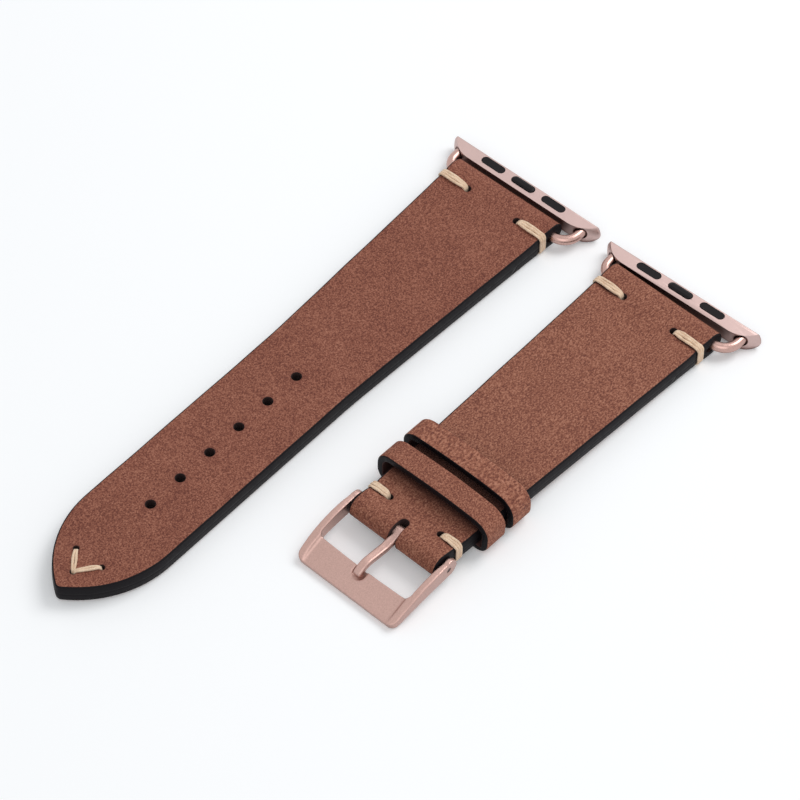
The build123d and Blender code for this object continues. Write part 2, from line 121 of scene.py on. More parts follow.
# Unevenness of the leather's colour, in waves per millimetre
cloud_frequency = 0.16
patch_frequency = 0.75

# Holes
punched_hole_count = 6
punched_hole_pitch = 6.72
punched_hole_radius = 0.85
first_hole_reach = 50.1
stitch_hole_radius = 0.62
tip_hole_radius = 0.5
slot_width = 1.62
slot_heel = 1.74
slot_round = 0.09

# Sewing thread
strand_count = 3
strand_width = 0.52
strand_thickness = 0.40
strand_pitch_share = 0.92
strand_wobble = 0.05
strand_lift = 0.03
strand_side_drop = 0.05
ply_depth = 0.06
ply_pitch = 1.9
thread_step = 0.25
thread_lift = 0.13
thread_bow = 0.16
thread_corner = 0.62
long_stitch_reach = 2.55
short_stitch_reach = 3.0
lug_stitch_across = 5.3
stitch_leg_inset = 0.5
buckle_stitch_setback = 3.4
buckle_stitch_across = 5.35
side_stitch_pinch = (0.62, 0.95)
tip_strand_count = 2
tip_strand_width = 0.46
tip_thread_bow = 0.1
tip_thread_near = 0.12
tip_thread_far = 0.16
tip_stitch_pinch = (0.75, 0.7)
pinch_run = 0.3
tip_stitch_top_share = 0.536
tip_stitch_top_across = 2.72
tip_stitch_point_share = 0.757

# Keepers
keeper_width = 4.3
keeper_wall = 1.25
keeper_side_gap = 0.45
keeper_bottom = -2.8
keeper_inner_height = 4.1
keeper_crown = 0.65
keeper_foot_radius = 2.6
keeper_foot_tighten = 1.75
keeper_shoulder_radius = 3.1
keeper_edge_round = 0.3
keeper_inner_round = 0.14
fixed_keeper_setback = 9.6
keeper_gap = 1.7
keeper_left = 0.2
keeper_sway = 0.04
keeper_ripple = 0.02
keeper_bulge = 0.01
keeper_shade_reach = 4.0
free_keeper_travel = 10.0

# Buckle, which hangs on its bar with its front edge on the table
buckle_length = 12.95
buckle_front_bottom = 0.5

# The buckle's even faces, and how often they are smoothed
buckle_voxel = 0.1
buckle_smoothing = 9

# Adapters, and how far each half's middle lies beside the origin of its hinge
adapter_edge_round = 0.1
adapter_edge_angle = 35.0
weld_reach = 0.002
adapter_far = 5.68
# A painted dark line along each adapter's far edge, and how far painted shade reaches by the leather
far_line_start = 0.2
far_line_end = 0.06
adapter_shade_reach = 1.6
long_side_shift = 0.70
short_side_shift = 0.58

# Lamps, with places and widths in metres and power in watts
key_place = (0.50, -0.14, 0.60)
key_width = 0.45
key_power = 2.75
fill_place = (-0.45, -0.30, 0.65)
fill_width = 0.6
fill_power = 1.1

# Floor, in metres, and surround
floor_half = 3.0
floor_glow = 0.14
surround_strength = 0.52

# Colours, as linear light
leather_dark = (0.130, 0.038, 0.026)
leather_mid = (0.258, 0.090, 0.056)
leather_light = (0.390, 0.165, 0.110)
# The keepers' dark lining, drawn darker still as painted shade
keeper_inside_shaded = (0.045, 0.012, 0.010)
# Leather in painted shade, near the keepers
shaded_leather = (0.030, 0.008, 0.007)
hole_colour = (0.022, 0.007, 0.006)
paint_colour = (0.0065, 0.0050, 0.0065)
thread_colour = (0.98, 0.77, 0.56)
thread_shade = (0.66, 0.43, 0.28)
adapter_colour = (0.56, 0.41, 0.385)
# Painted shade and reflection on the adapters, where they would mirror the shaded leather
painted_shade_and_reflection = (0.13, 0.045, 0.032)
bail_colour = (0.53, 0.34, 0.30)
buckle_colour = (0.56, 0.366, 0.322)
steel_colour = (0.60, 0.60, 0.62)
tip_colour = (0.09, 0.06, 0.055)
pad_colour = (0.011, 0.009, 0.010)
floor_colour = (0.93, 0.94, 0.95)
surround_colour = (0.96, 0.98, 1.0)
white = (1.0, 1.0, 1.0)

scene = bpy.context.scene
joints = {joint["name"]: joint for joint in frame["joints"]}
lug_half = lug_width / 2
tail_half = tail_width / 2
buckle_end_half = buckle_end_width / 2
bar_x = -spring_bar_reach
tip_round = (tip_length ** 2 + tail_half ** 2) / (2 * tail_half)
nose_reach = math.sqrt((tip_round - tip_nose_radius) ** 2 - (tip_round - tail_half) ** 2)
nose_x = -(tip_start + nose_reach)
tip_stitch_top = -(tip_start + tip_stitch_top_share * tip_length)
tip_stitch_point = -(tip_start + tip_stitch_point_share * tip_length)
long_stitch_x = -long_stitch_reach
short_stitch_x = -short_stitch_reach
lining_front = -(lug_turn_under + skive_length)
lug_turn = math.pi * lug_loop_radius
buckle_turn = math.pi * buckle_loop_radius
buckle_stitch_x = bar_x + buckle_stitch_setback
fixed_keeper_x = bar_x + fixed_keeper_setback
free_keeper_x = fixed_keeper_x + keeper_width + keeper_gap
widest_x = free_keeper_x + keeper_width / 2 + free_keeper_travel
widest_half = lug_half + (lug_half - buckle_end_half) * widest_x / spring_bar_reach
keeper_half_width = widest_half + keeper_side_gap + keeper_wall


def half_place(hinge, along, across, side_shift):
    """Turns one half's millimetres into metres in the shared frame."""
    along, across = Vector(along), Vector(across)
    up = along.cross(across)
    place = Matrix((along * mm, across * mm, up * mm)).transposed().to_4x4()
    place.translation = Vector(joints[hinge]["pos_m"]) + across * side_shift * mm
    return place


long_place = half_place("long_lug_hinge", (1, 0, 0), (0, 1, 0), long_side_shift)
short_place = half_place("short_lug_hinge", joints["free_keeper_slide"]["axis"],
                         joints["buckle_hinge"]["axis"], short_side_shift)
places = {"long": long_place, "short": short_place}
bar_height = (short_place @ Vector((bar_x, 0.0, 0.0))).z / mm


def adapter_place(half):
    """Frame of an adapter, on its hinge."""
    hinge = f"{half}_lug_hinge"
    across = Vector(joints[hinge]["axis"])
    up = places[half].to_3x3().normalized().col[2]
    return half_place(hinge, across.cross(up), across, 0.0)


# Materials

def add_node(tree, kind, inputs=None, output=0, **settings):
    """Adds a shader node with its settings, and gives one of its outputs. Inputs, by name or number,
    are values or links."""
    node = tree.nodes.new("ShaderNode" + kind)
    for name, value in settings.items():
        setattr(node, name, value)
    for key, value in (inputs or {}).items():
        if isinstance(value, bpy.types.NodeSocket):
            tree.links.new(value, node.inputs[key])
        else:
            node.inputs[key].default_value = value
    return node.outputs[output] if node.outputs else None


def new_material(name):
    """An empty node material and its node tree."""
    material = bpy.data.materials.new(name)
    material.use_nodes = True
    tree = material.node_tree
    tree.nodes.clear()
    return material, tree


def rgba(colour):
    return (*colour, 1.0)


def place_in_mm(tree):
    """The surface point in millimetres, in the piece's own frame."""
    return add_node(tree, "Mapping", {
        "Vector": add_node(tree, "TexCoord", output="Object"), "Scale": (1 / mm, 1 / mm, 1 / mm)})


def reach_in_place(tree, place):
    """How far the surface point lies along a place's X, in millimetres."""
    turned = add_node(tree, "Mapping", {
        "Vector": add_node(tree, "TexCoord", output="Object"), "Location": place.translation,
        "Rotation": place.to_3x3().normalized().to_euler(), "Scale": (mm, mm, mm)}, vector_type="TEXTURE")
    return add_node(tree, "SeparateXYZ", {"Vector": turned})


def noise(tree, point, scale, detail, roughness):
    return add_node(tree, "TexNoise", {
        "Vector": point, "Scale": scale, "Detail": detail, "Roughness": roughness})


def mix(tree, share, first, second):
    """Blend of two colours, at the colour inputs of a mix node."""
    return add_node(tree, "Mix", {0: share, 6: first, 7: second}, output=2, data_type="RGBA")


def math_node(tree, operation, first, second):
    return add_node(tree, "Math", {0: first, 1: second}, operation=operation)


def stretch(tree, value, low, high, to_low=0.0, to_high=1.0):
    """Maps a value from one range to another, clamped."""
    return add_node(tree, "MapRange", {
        "Value": value, "From Min": low, "From Max": high, "To Min": to_low, "To Max": to_high})


def finish_material(tree, inputs):
    """Principled shader and output."""
    add_node(tree, "OutputMaterial", {0: add_node(tree, "BsdfPrincipled", inputs)})


def bump(tree, height, depth):
    return add_node(tree, "Bump", {"Height": height, "Distance": depth * mm})


def covered(tree, reach, low, high):
    """How far the surface is hidden by something within a reach, between two open shares."""
    nearby = add_node(tree, "AmbientOcclusion", {"Distance": reach * mm}, output="AO", samples=12)
    return stretch(tree, nearby, low, high, 1.0, 0.0)


def keeper_shade(tree):
    """Painted shade: darker leather under and between the keepers, wherever they are."""
    return covered(tree, keeper_shade_reach, 0.34, 0.74)


def adapter_shade(half):
    """Painted shade and reflection: darker where an adapter would mirror dark things, at its wall by the
    leather, its bores and its far edge.
    """
    def shade(tree):
        x = reach_in_place(tree, adapter_place(half))
        near = covered(tree, adapter_shade_reach, 0.35, 0.8)
        far = stretch(tree, x, adapter_far - far_line_start, adapter_far - far_line_end, 0.0, 0.4)
        return math_node(tree, "MAXIMUM", near, far)
    return shade


def leather_material(name, tint, grain_size=0.26, grain_depth=0.07, contrast=0.85, grain_stretch=1.0,
                     shade=None):
    """Nubuck-like leather: a fine pebbled grain with dark pits and pale tops, slightly clouded."""
    material, tree = new_material(name)
    point = place_in_mm(tree)
    cloud = noise(tree, point, cloud_frequency, 3.0, 0.55)
    patch = noise(tree, point, patch_frequency, 3.0, 0.6)
    point = add_node(tree, "Mapping", {"Vector": point, "Scale": (1 / grain_stretch, 1.0, 1.0)})
    fine = noise(tree, point, 1.0 / grain_size, 3.0, 0.8)
    cells = add_node(tree, "TexVoronoi", {
        "Vector": point, "Scale": 1.0 / grain_size, "Smoothness": 0.4}, feature="SMOOTH_F1")
    tone = math_node(tree, "ADD", stretch(tree, cloud, 0.3, 0.7, -0.09, 0.09), 0.53)
    tone = math_node(tree, "ADD", tone, stretch(tree, patch, 0.3, 0.7, -0.05, 0.05))
    tone = math_node(tree, "ADD", tone, stretch(tree, fine, 0.3, 0.7, -contrast, contrast))
    pits = stretch(tree, cells, 0.1, 0.7, -0.2 * contrast, 0.3 * contrast)
    tone = math_node(tree, "SUBTRACT", tone, pits)
    tinted = [rgba([part * share for part, share in zip(colour, tint)])
              for colour in (leather_dark, leather_mid, leather_light)]
    lower = mix(tree, stretch(tree, tone, 0.0, 0.5), tinted[0], tinted[1])
    colour = mix(tree, stretch(tree, tone, 0.5, 1.0), lower, tinted[2])
    # Leather drawn darker near each hole and down its rim
    near_hole = add_node(tree, "Attribute", output="Fac", attribute_name="near_hole")
    colour = mix(tree, math_node(tree, "MULTIPLY", near_hole, 0.55), colour, tinted[0])
    # Painted shade, where the material is given one
    if shade:
        colour = mix(tree, math_node(tree, "MULTIPLY", shade(tree), 0.95), colour, rgba(shaded_leather))
    height = math_node(tree, "SUBTRACT", math_node(tree, "MULTIPLY", fine, 0.8), cells)
    finish_material(tree, {
        "Base Color": colour,
        "Roughness": stretch(tree, fine, 0.3, 0.7, 0.66, 0.8),
        "Specular IOR Level": 0.2,
        "Normal": bump(tree, height, grain_depth)})
    return material


def plain_material(name, colour, roughness, bump_size, bump_depth, specular=0.5):
    """A coloured surface with slight unevenness in its gloss, colour and relief."""
    material, tree = new_material(name)
    unevenness = noise(tree, place_in_mm(tree), bump_size, 3.0, 0.6)
    darker = rgba([value * 0.78 for value in colour])
    lighter = rgba([min(value * 1.2, 1.0) for value in colour])
    finish_material(tree, {
        "Base Color": mix(tree, stretch(tree, unevenness, 0.25, 0.75), darker, lighter),
        "Roughness": stretch(tree, unevenness, 0.3, 0.7, roughness - 0.06, roughness + 0.06),
        "Specular IOR Level": specular,
        "Normal": bump(tree, unevenness, bump_depth)})
    return material


def metal_material(name, colour, roughness, grain_depth, stretch_along, anisotropy=0.0, shade=None,
                   depth=0.93, speck_size=3.0, speck_share=0.3):
    """Coated metal: a satin gloss with faint lines of finishing along one direction, and fine specks."""
    material, tree = new_material(name)
    point = place_in_mm(tree)
    lined = add_node(tree, "Mapping", {"Vector": point, "Scale": stretch_along})
    lines = noise(tree, lined, 1.0, 4.0, 0.65)
    cloud = noise(tree, point, 0.35, 2.0, 0.5)
    darker = rgba([value * depth for value in colour])
    speck = noise(tree, point, speck_size, 2.0, 0.7)
    tone = math_node(tree, "ADD", math_node(tree, "MULTIPLY", lines, 1 - speck_share),
                     math_node(tree, "MULTIPLY", speck, speck_share))
    colour_here = mix(tree, stretch(tree, tone, 0.35, 0.65), darker, rgba(colour))
    # Painted shade and reflection, where a shade is given
    if shade:
        colour_here = mix(tree, shade(tree), colour_here, rgba(painted_shade_and_reflection))
    gloss = math_node(tree, "ADD", stretch(tree, lines, 0.3, 0.7, roughness - 0.04, roughness + 0.05),
                      stretch(tree, cloud, 0.3, 0.7, -0.02, 0.03))
    finish_material(tree, {
        "Base Color": colour_here,
        "Metallic": 1.0,
        "Roughness": gloss,
        "Anisotropic": anisotropy,
        "Normal": bump(tree, lines, grain_depth)})
    return material


def thread_material():
    """Waxed thread: fibres run along each strand and twist slowly round it."""
    material, tree = new_material("waxed_thread_fibres")
    uv = add_node(tree, "UVMap", uv_map="strand")
    along = add_node(tree, "Mapping", {"Vector": uv, "Scale": (1.3, 9.0, 1.0)})
    fibres = noise(tree, along, 1.6, 3.0, 0.65)
    aslant = add_node(tree, "Mapping", {"Vector": uv, "Rotation": (0.0, 0.0, 0.9)})
    twist = add_node(tree, "TexWave", {
        "Vector": aslant, "Scale": 1.1, "Distortion": 1.5, "Detail": 2.0}, output=1)
    soil = noise(tree, place_in_mm(tree), 0.9, 2.0, 0.5)
    share = math_node(tree, "ADD", stretch(tree, fibres, 0.3, 0.7, 0.0, 0.75),
                      stretch(tree, soil, 0.35, 0.65, -0.1, 0.3))
    colour = mix(tree, share, rgba(thread_shade), rgba(thread_colour))
    height = math_node(tree, "ADD", fibres, math_node(tree, "MULTIPLY", twist, 0.35))
    finish_material(tree, {
        "Base Color": colour,
        "Roughness": stretch(tree, fibres, 0.3, 0.7, 0.62, 0.5),
        "Specular IOR Level": 0.35,
        "Sheen Weight": 0.2,
        "Normal": bump(tree, height, 0.05)})
    return material


materials = {
    "leather": leather_material("top_leather_grain", (1.04, 1.04, 1.04), grain_size=0.27, contrast=0.8),
    # The short half: the same leather as the long half, drawn lighter as painted light, with painted shade
    # under and between the keepers
    "short_leather": leather_material("short_leather_lit_and_shaded", (1.15, 1.22, 1.20), grain_stretch=1.4,
                                      shade=keeper_shade),
    "keeper": leather_material("keeper_leather_grain", (1.15, 1.2, 1.18)),
    "free_keeper": leather_material("free_keeper_leather_grain", (1.29, 1.37, 1.35), grain_size=0.42,
                                    grain_depth=0.2, contrast=0.8, grain_stretch=1.3),
    "lining": leather_material("lining_leather_grain", (1.1, 1.3, 1.35), grain_size=0.3,
                               grain_depth=0.015, contrast=0.2),
    "paint": plain_material("edge_paint", paint_colour, 0.5, bump_size=1.2, bump_depth=0.03, specular=0.1),
    "keeper_inside_shaded": plain_material("keeper_lining_painted_shade", keeper_inside_shaded, 0.75, bump_size=3.0, bump_depth=0.04),
    "hole": plain_material("cut_leather", hole_colour, 0.85, bump_size=4.0, bump_depth=0.05),
    "thread": thread_material(),
    "long_adapter": metal_material("long_adapter_satin", adapter_colour, 0.40, 0.002, (6.0, 6.0, 6.0),
                                   shade=adapter_shade("long")),
    "short_adapter": metal_material("short_adapter_satin", adapter_colour, 0.40, 0.002, (6.0, 6.0, 6.0),
                                    shade=adapter_shade("short")),
    "bail": metal_material("bail_polish", bail_colour, 0.27, 0.001, (3.0, 3.0, 3.0)),
    "buckle": metal_material("buckle_brushed", buckle_colour, 0.36, 0.03, (2.2, 9.0, 9.0), anisotropy=0.3,
                             depth=0.8, speck_size=4.5, speck_share=0.6),
    "tip_steel": metal_material("bar_tip_dark", tip_colour, 0.4, 0.002, (4.0, 4.0, 4.0)),
    "steel": metal_material("spring_steel_bright", steel_colour, 0.3, 0.002, (4.0, 4.0, 4.0)),
    "pad": plain_material("pad_rubber_satin", pad_colour, 0.45, bump_size=3.0, bump_depth=0.004,
                          specular=0.12),
}


# Mesh helpers

def add_to_scene(name, data):
    obj = bpy.data.objects.new(name, data)
    scene.collection.objects.link(obj)
    return obj


def add_object(name, points, faces, place, slots, face_slots=None, uvs=None):
    """A smooth-shaded mesh object from points in a half's millimetres."""
    matrix = np.array(place)
    world = points @ matrix[:3, :3].T + matrix[:3, 3]
    mesh = bpy.data.meshes.new(name)
    mesh.from_pydata(world.tolist(), [], [tuple(int(i) for i in face) for face in faces])
    for slot in slots:
        mesh.materials.append(materials[slot])
    if face_slots:
        mesh.polygons.foreach_set("material_index", np.asarray(face_slots, np.int32))
    mesh.polygons.foreach_set("use_smooth", np.ones(len(mesh.polygons), bool))
    if uvs:
        layer = mesh.uv_layers.new(name="strand")
        corners = np.zeros(len(mesh.loops), np.int32)
        mesh.loops.foreach_get("vertex_index", corners)
        layer.data.foreach_set("uv", np.asarray(uvs, np.float32)[corners].ravel())
    mesh.update()
    return add_to_scene(name, mesh)


def settle(obj, body, node):
    """The piece rides on a body and stands in for a CAD node, which it hides."""
    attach(obj, body)
    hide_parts(node)


def inset_loop(loop, distance):
    """The closed loop moved to its left by a distance."""
    before, after = loop - np.roll(loop, 1, 0), np.roll(loop, -1, 0) - loop
    normals = []
    for step in (before, after):
        step = step / np.linalg.norm(step, axis=1)[:, None]
        normals.append(np.stack([-step[:, 1], step[:, 0]], 1))
    middle = normals[0] + normals[1]
    middle /= np.linalg.norm(middle, axis=1)[:, None]
    cosine = np.maximum((middle * normals[0]).sum(1), 0.6)
    return loop + middle * (distance / cosine)[:, None]


def is_inside(points, loop):
    """Which points lie in a closed loop."""
    inside = np.zeros(len(points), bool)
    x, y = points[:, 0], points[:, 1]
    for (x0, y0), (x1, y1) in zip(loop, np.roll(loop, -1, 0)):
        if y0 == y1:
            continue
        crosses = (y0 > y) != (y1 > y)
        inside ^= crosses & (x < (x1 - x0) * (y - y0) / (y1 - y0) + x0)
    return inside


def nearest(points, others):
    """Distance of each point to the nearest of the others."""
    return np.array([np.linalg.norm(others - point, axis=1).min() for point in points])


def in_sheet(points, loops):
    """Which points lie within the outline and outside the holes."""
    keep = is_inside(points, loops[0])
    for hole in loops[1:]:
        keep &= ~is_inside(points, hole)
    return keep


def triangulate(loops, stations):
    """Triangles between the outer loop and the hole loops, with rows of points inside."""
    edge_points = np.concatenate(loops)
    rows = []
    limit = np.abs(loops[0][:, 1]).max()
    count = int(2 * limit / grid_step) + 1
    for number, s in enumerate(stations):
        t = np.linspace(-limit, limit, count) + (number % 2) * limit / count
        rows.append(np.stack([np.full(count, s), t], 1))
    inner = np.concatenate(rows)
    inner = inner[in_sheet(inner, loops)]
    inner = inner[nearest(inner, edge_points) > 0.5 * fold_step]
    points = np.concatenate([edge_points, inner])
    edges, start = [], 0
    for loop in loops:
        size = len(loop)
        edges += [(start + i, start + (i + 1) % size) for i in range(size)]
        start += size
    result = delaunay_2d_cdt([Vector(p) for p in points], edges, [], 1, 1e-6, True)
    source = [ids[0] for ids in result[3]]
    faces = np.array([[source[i] for i in face] for face in result[2]])
    return points, faces[in_sheet(points[faces].mean(1), loops)]


def leather_sheet(name, place, loops, rims, stations, outer, inner, slots):
    """A closed sheet of leather. Loops and stations are in the flat sheet, outer and inner map it to
    its two faces, and every loop gets a rounded rim of its own. The first loop is the outline."""
    turns = [k / rim_steps * math.pi / 2 for k in range(rim_steps + 1)]
    loops = [inset_loop(loops[0], -edge_spread), *loops[1:]]
    flat_loops = [inset_loop(loop, rim + edge_crown * (number == 0))
                  for number, (loop, rim) in enumerate(zip(loops, rims))]
    flat, triangles = triangulate(flat_loops, stations)
    border = sum(len(loop) for loop in loops)
    points = [outer(flat)]
    faces = list(triangles)
    face_slots = [0] * len(triangles)
    near = np.zeros(len(flat))
    if len(loops) > 1:
        near = np.clip(1 - nearest(flat, np.concatenate(loops[1:])) / hole_darkening_reach, 0, 1)
    near_hole = [near]
    total = len(flat)
    start = 0
    last_rings = []
    for number, (loop, rim) in enumerate(zip(loops, rims)):
        size = len(loop)
        ring = np.arange(start, start + size)
        start += size
        profile = [(rim * (1 - math.sin(turn)), rim * (1 - math.cos(turn)), 0.0) for turn in turns[1:]]
        profile += [(0.0, rim, k / wall_steps) for k in range(1, wall_steps)]
        profile += [(seam_round * (1 - math.cos(turn)), 0.0, 1.0) for turn in turns[::3]]
        for step, (inset, drop, wall_share) in enumerate(profile):
            sunk = edge_crown * (1 - wall_share) ** 2 * (number == 0)
            here = inset_loop(loop, inset + sunk)
            top, low = outer(here), inner(here)
            depth = np.linalg.norm(top - low, axis=1)
            if wall_share == 1.0:
                fall = depth - seam_round * (1 - math.sin(math.acos(max(0.0, 1 - inset / seam_round))))
            else:
                fall = drop + (depth - drop - seam_round) * wall_share
            points.append(top + (low - top) * (fall / depth)[:, None])
            near_hole.append(np.full(size, float(number > 0)))
            following = np.arange(total, total + size)
            total += size
            slot = 1
            if number:
                slot = 2 if step >= hole_from_step else 0
            for i in range(size):
                j = (i + 1) % size
                faces.append((ring[j], ring[i], following[i], following[j]))
            face_slots += [slot] * size
            ring = following
        last_rings.append(ring)
    lower = inner(flat[border:])
    points.append(lower)
    near_hole.append(np.zeros(len(lower)))
    index = np.concatenate([*last_rings, np.arange(total, total + len(lower))])
    faces += [tuple(index[list(face[::-1])]) for face in triangles]
    face_slots += [2] * len(triangles)
    obj = add_object(name, np.concatenate(points), faces, place, slots, face_slots)
    attribute = obj.data.attributes.new("near_hole", "FLOAT", "POINT")
    attribute.data.foreach_set("value", np.concatenate(near_hole).astype(np.float32))
    return obj


def ring_faces(number, count):
    """Faces of a closed ring of closed sections."""
    faces = []
    for i in range(number):
        j = (i + 1) % number
        for k in range(count):
            m = (k + 1) % count
            faces.append((i * count + k, i * count + m, j * count + m, j * count + k))
    return faces


def circle_loop(x, y, radius, count=20):
    """A hole's loop, clockwise."""
    angles = -np.arange(count) * 2 * math.pi / count
    return np.stack([x + radius * np.cos(angles), y + radius * np.sin(angles)], 1)


def slot_loop(low, high):
    """The tongue's round-ended slot along the sheet, clockwise."""
    radius = slot_width / 2
    near, far = low + radius, high - radius
    run = np.arange(near, far, fold_step)
    turns = np.linspace(math.pi / 2, -math.pi / 2, 13)
    points = [(s, radius) for s in run]
    points += [(far + radius * math.cos(a), radius * math.sin(a)) for a in turns]
    points += [(s, -radius) for s in run[::-1]]
    points += [(near - radius * math.cos(a), -radius * math.sin(a)) for a in turns[1:-1]]
    return np.array(points)


# Shapes of the leather

def smooth_step(value):
    value = np.clip(value, 0, 1)
    return value * value * (3 - 2 * value)


def long_half_width(x):
    """Half width of the long half at each x, as far as the spear tip."""
    slope = (lug_half - tail_half) / (taper_length + lug_loop_reach)
    past = x + taper_length
    rise = slope * (np.sqrt(past ** 2 + taper_blend ** 2) + past) / 2
    reach = np.clip(-tip_start - x, 0, None)
    tip = tail_half - tip_round + np.sqrt(np.maximum(tip_round ** 2 - reach ** 2, 0))
    return np.where(reach > 0, tip, tail_half) + rise


def short_half_width(x):
    return lug_half - (lug_half - buckle_end_half) * (-x) / spring_bar_reach


class Fold:
    """The two faces of a strip that is level in the middle and folded back round a loop at an end."""

    def __init__(self, flat_half, rear):
        self.flat_half = flat_half
        self.rear = rear

    def half_height(self, x):
        """Half thickness of the folded strip."""
        front = (lug_loop_radius - self.flat_half) * smooth_step(1 + x / lug_swell_length)
        if not self.rear:
            return self.flat_half + front
        swell = smooth_step(1 + (bar_x - x) / buckle_swell_length)
        return self.flat_half + front + (buckle_loop_radius - self.flat_half) * swell

    def bore(self, x):
        """Half height of the space that a loop leaves round its bar."""
        front = lug_bore_radius * np.sqrt(np.clip(1 - (x / bore_run_out) ** 2, 0, 1))
        if not self.rear:
            return front
        return front + buckle_bore_radius * np.sqrt(np.clip(1 - ((x - bar_x) / bore_run_out) ** 2, 0, 1))

    def face(self, sheet, dip=None):
        """Places of points of the flat sheet on its outer face, which has dips, or its inner one."""
        is_outer = dip is not None
        height = self.half_height if is_outer else self.bore
        s, t = sheet[:, 0], sheet[:, 1]
        x, z = s.copy(), np.zeros(len(s))
        level = np.ones(len(s), bool)
        ends = [(s, lug_turn, lug_loop_radius, lug_loop_reach, lug_bore_radius, 0.0, 1.0,
                 lug_turn_under, skive_length)]
        if self.rear:
            ends.append((bar_x - s, buckle_turn, buckle_loop_radius, buckle_loop_radius,
                         buckle_bore_radius, bar_x, -1.0, buckle_turn_under, 0.0))
        for past, turn, loop_radius, loop_reach, bore_radius, centre, way, under, skive in ends:
            level &= past <= 0
            round_part = (past > 0) & (past < turn)
            radius = loop_radius if is_outer else bore_radius
            reach = loop_reach if is_outer else bore_radius
            angle = past / loop_radius
            x = np.where(round_part, centre + way * reach * np.sin(angle), x)
            z = np.where(round_part, radius * np.cos(angle), z)
            flap = past >= turn
            back = past - turn
            if not is_outer:
                back = back * under / (under + skive)
            below = centre - way * back
            x = np.where(flap, below, x)
            z = np.where(flap, -height(below), z)
        level_height = height(x)
        if is_outer:
            level_height = level_height + surface_waves(x, t) - dip(x, t)
        return np.stack([x, t, np.where(level, level_height, z)], 1)


folds = {"long": Fold(long_thickness / 2, False), "short": Fold(short_thickness / 2, True)}


def surface_waves(x, y):
    """Slow unevenness of the leather's upper face, which dies out at the loops."""
    wave = np.sin(0.31 * x + 0.7) * np.sin(0.43 * y + 1.1) + 0.6 * np.sin(0.57 * x - 0.35 * y + 2.0)
    return surface_wave * wave * smooth_step(-x / lug_swell_length) - surface_wave


def stitch_dips(rows):
    """How far the leather gives under stitches. Each row is x, inner y and outer y."""
    def dip(x, y):
        total = 0.0
        for row_x, start, end in rows:
            beyond = np.maximum(start - np.abs(y), 0) + np.maximum(np.abs(y) - end, 0)
            gap = np.hypot(x - row_x, beyond)
            total = total + stitch_dip * np.exp(-(gap / stitch_dip_width) ** 2)
        return total
    return dip


def pinched(half_widths, x, rows):
    """Half widths of an outline, drawn in where a thread goes round the edge."""
    for row_x in rows:
        half_widths = half_widths - stitch_pinch * np.exp(-((x - row_x) / stitch_dip_width) ** 2)
    return half_widths


def side_stations(low, high, level_low, level_high):
    """Places along the sheet: close where it folds, wider on the level."""
    spans = [(low, level_low, fold_step), (level_low, level_high, grid_step)]
    parts = [np.linspace(start, end, int((end - start) / step), endpoint=False)
             for start, end, step in spans]
    parts.append(np.linspace(level_high, high, int((high - level_high) / fold_step) + 1))
    return np.concatenate(parts)


def strip_outline(stations, half_widths, nose=None):
    """Closed outline of the flat sheet, anticlockwise, with a nose between its sides if it has one."""
    def straight_end(station, half_width):
        return [(station, t) for t in np.linspace(-half_width, half_width, 25)[1:-1]]

    left = np.stack([stations, half_widths], 1)[::-1]
    right = np.stack([stations, -half_widths], 1)
    if nose is None:
        nose = straight_end(stations[0], half_widths[0])[::-1]
    return np.concatenate([left, nose, right, straight_end(stations[-1], half_widths[-1])])


def stitch_holes(side, x, across, turn, centre=0.0, way=1.0):
    """A stitch's two holes, in the upper layer and in the one that is turned under."""
    turned_under = centre + way * (turn + abs(x - centre))
    return [circle_loop(s, side * across, stitch_hole_radius) for s in (x, turned_under)]


def build_top(half, leather, loops, rims, stations, dip):
    """Folded top leather of one half."""
    fold = folds[half]
    top = leather_sheet(f"{half}_top_leather_skin", places[half], loops, rims, stations[1:-1],
                        lambda sheet: fold.face(sheet, dip), fold.face, (leather, "paint", "hole"))
    settle(top, f"{half}_strap", f"{half}_top_leather")


def build_lining(half, loops, rims, stations):
    """Lining of one half: level below, meeting the turned-under end at a slope in front."""
    def lower_face(sheet):
        return np.stack([sheet[:, 0], -sheet[:, 1], np.full(len(sheet), -folds[half].flat_half)], 1)

    def upper_face(sheet):
        shift = skive_length * smooth_step(1 + (sheet[:, 0] - lining_front) / (3 * skive_length))
        return np.stack([sheet[:, 0] + shift, -sheet[:, 1], np.zeros(len(sheet))], 1)

    lining = leather_sheet(f"{half}_lining_skin", places[half], loops, rims, stations[1:-1],
                           lower_face, upper_face, ("lining", "paint", "hole"))
    settle(lining, f"{half}_strap", f"{half}_lining")


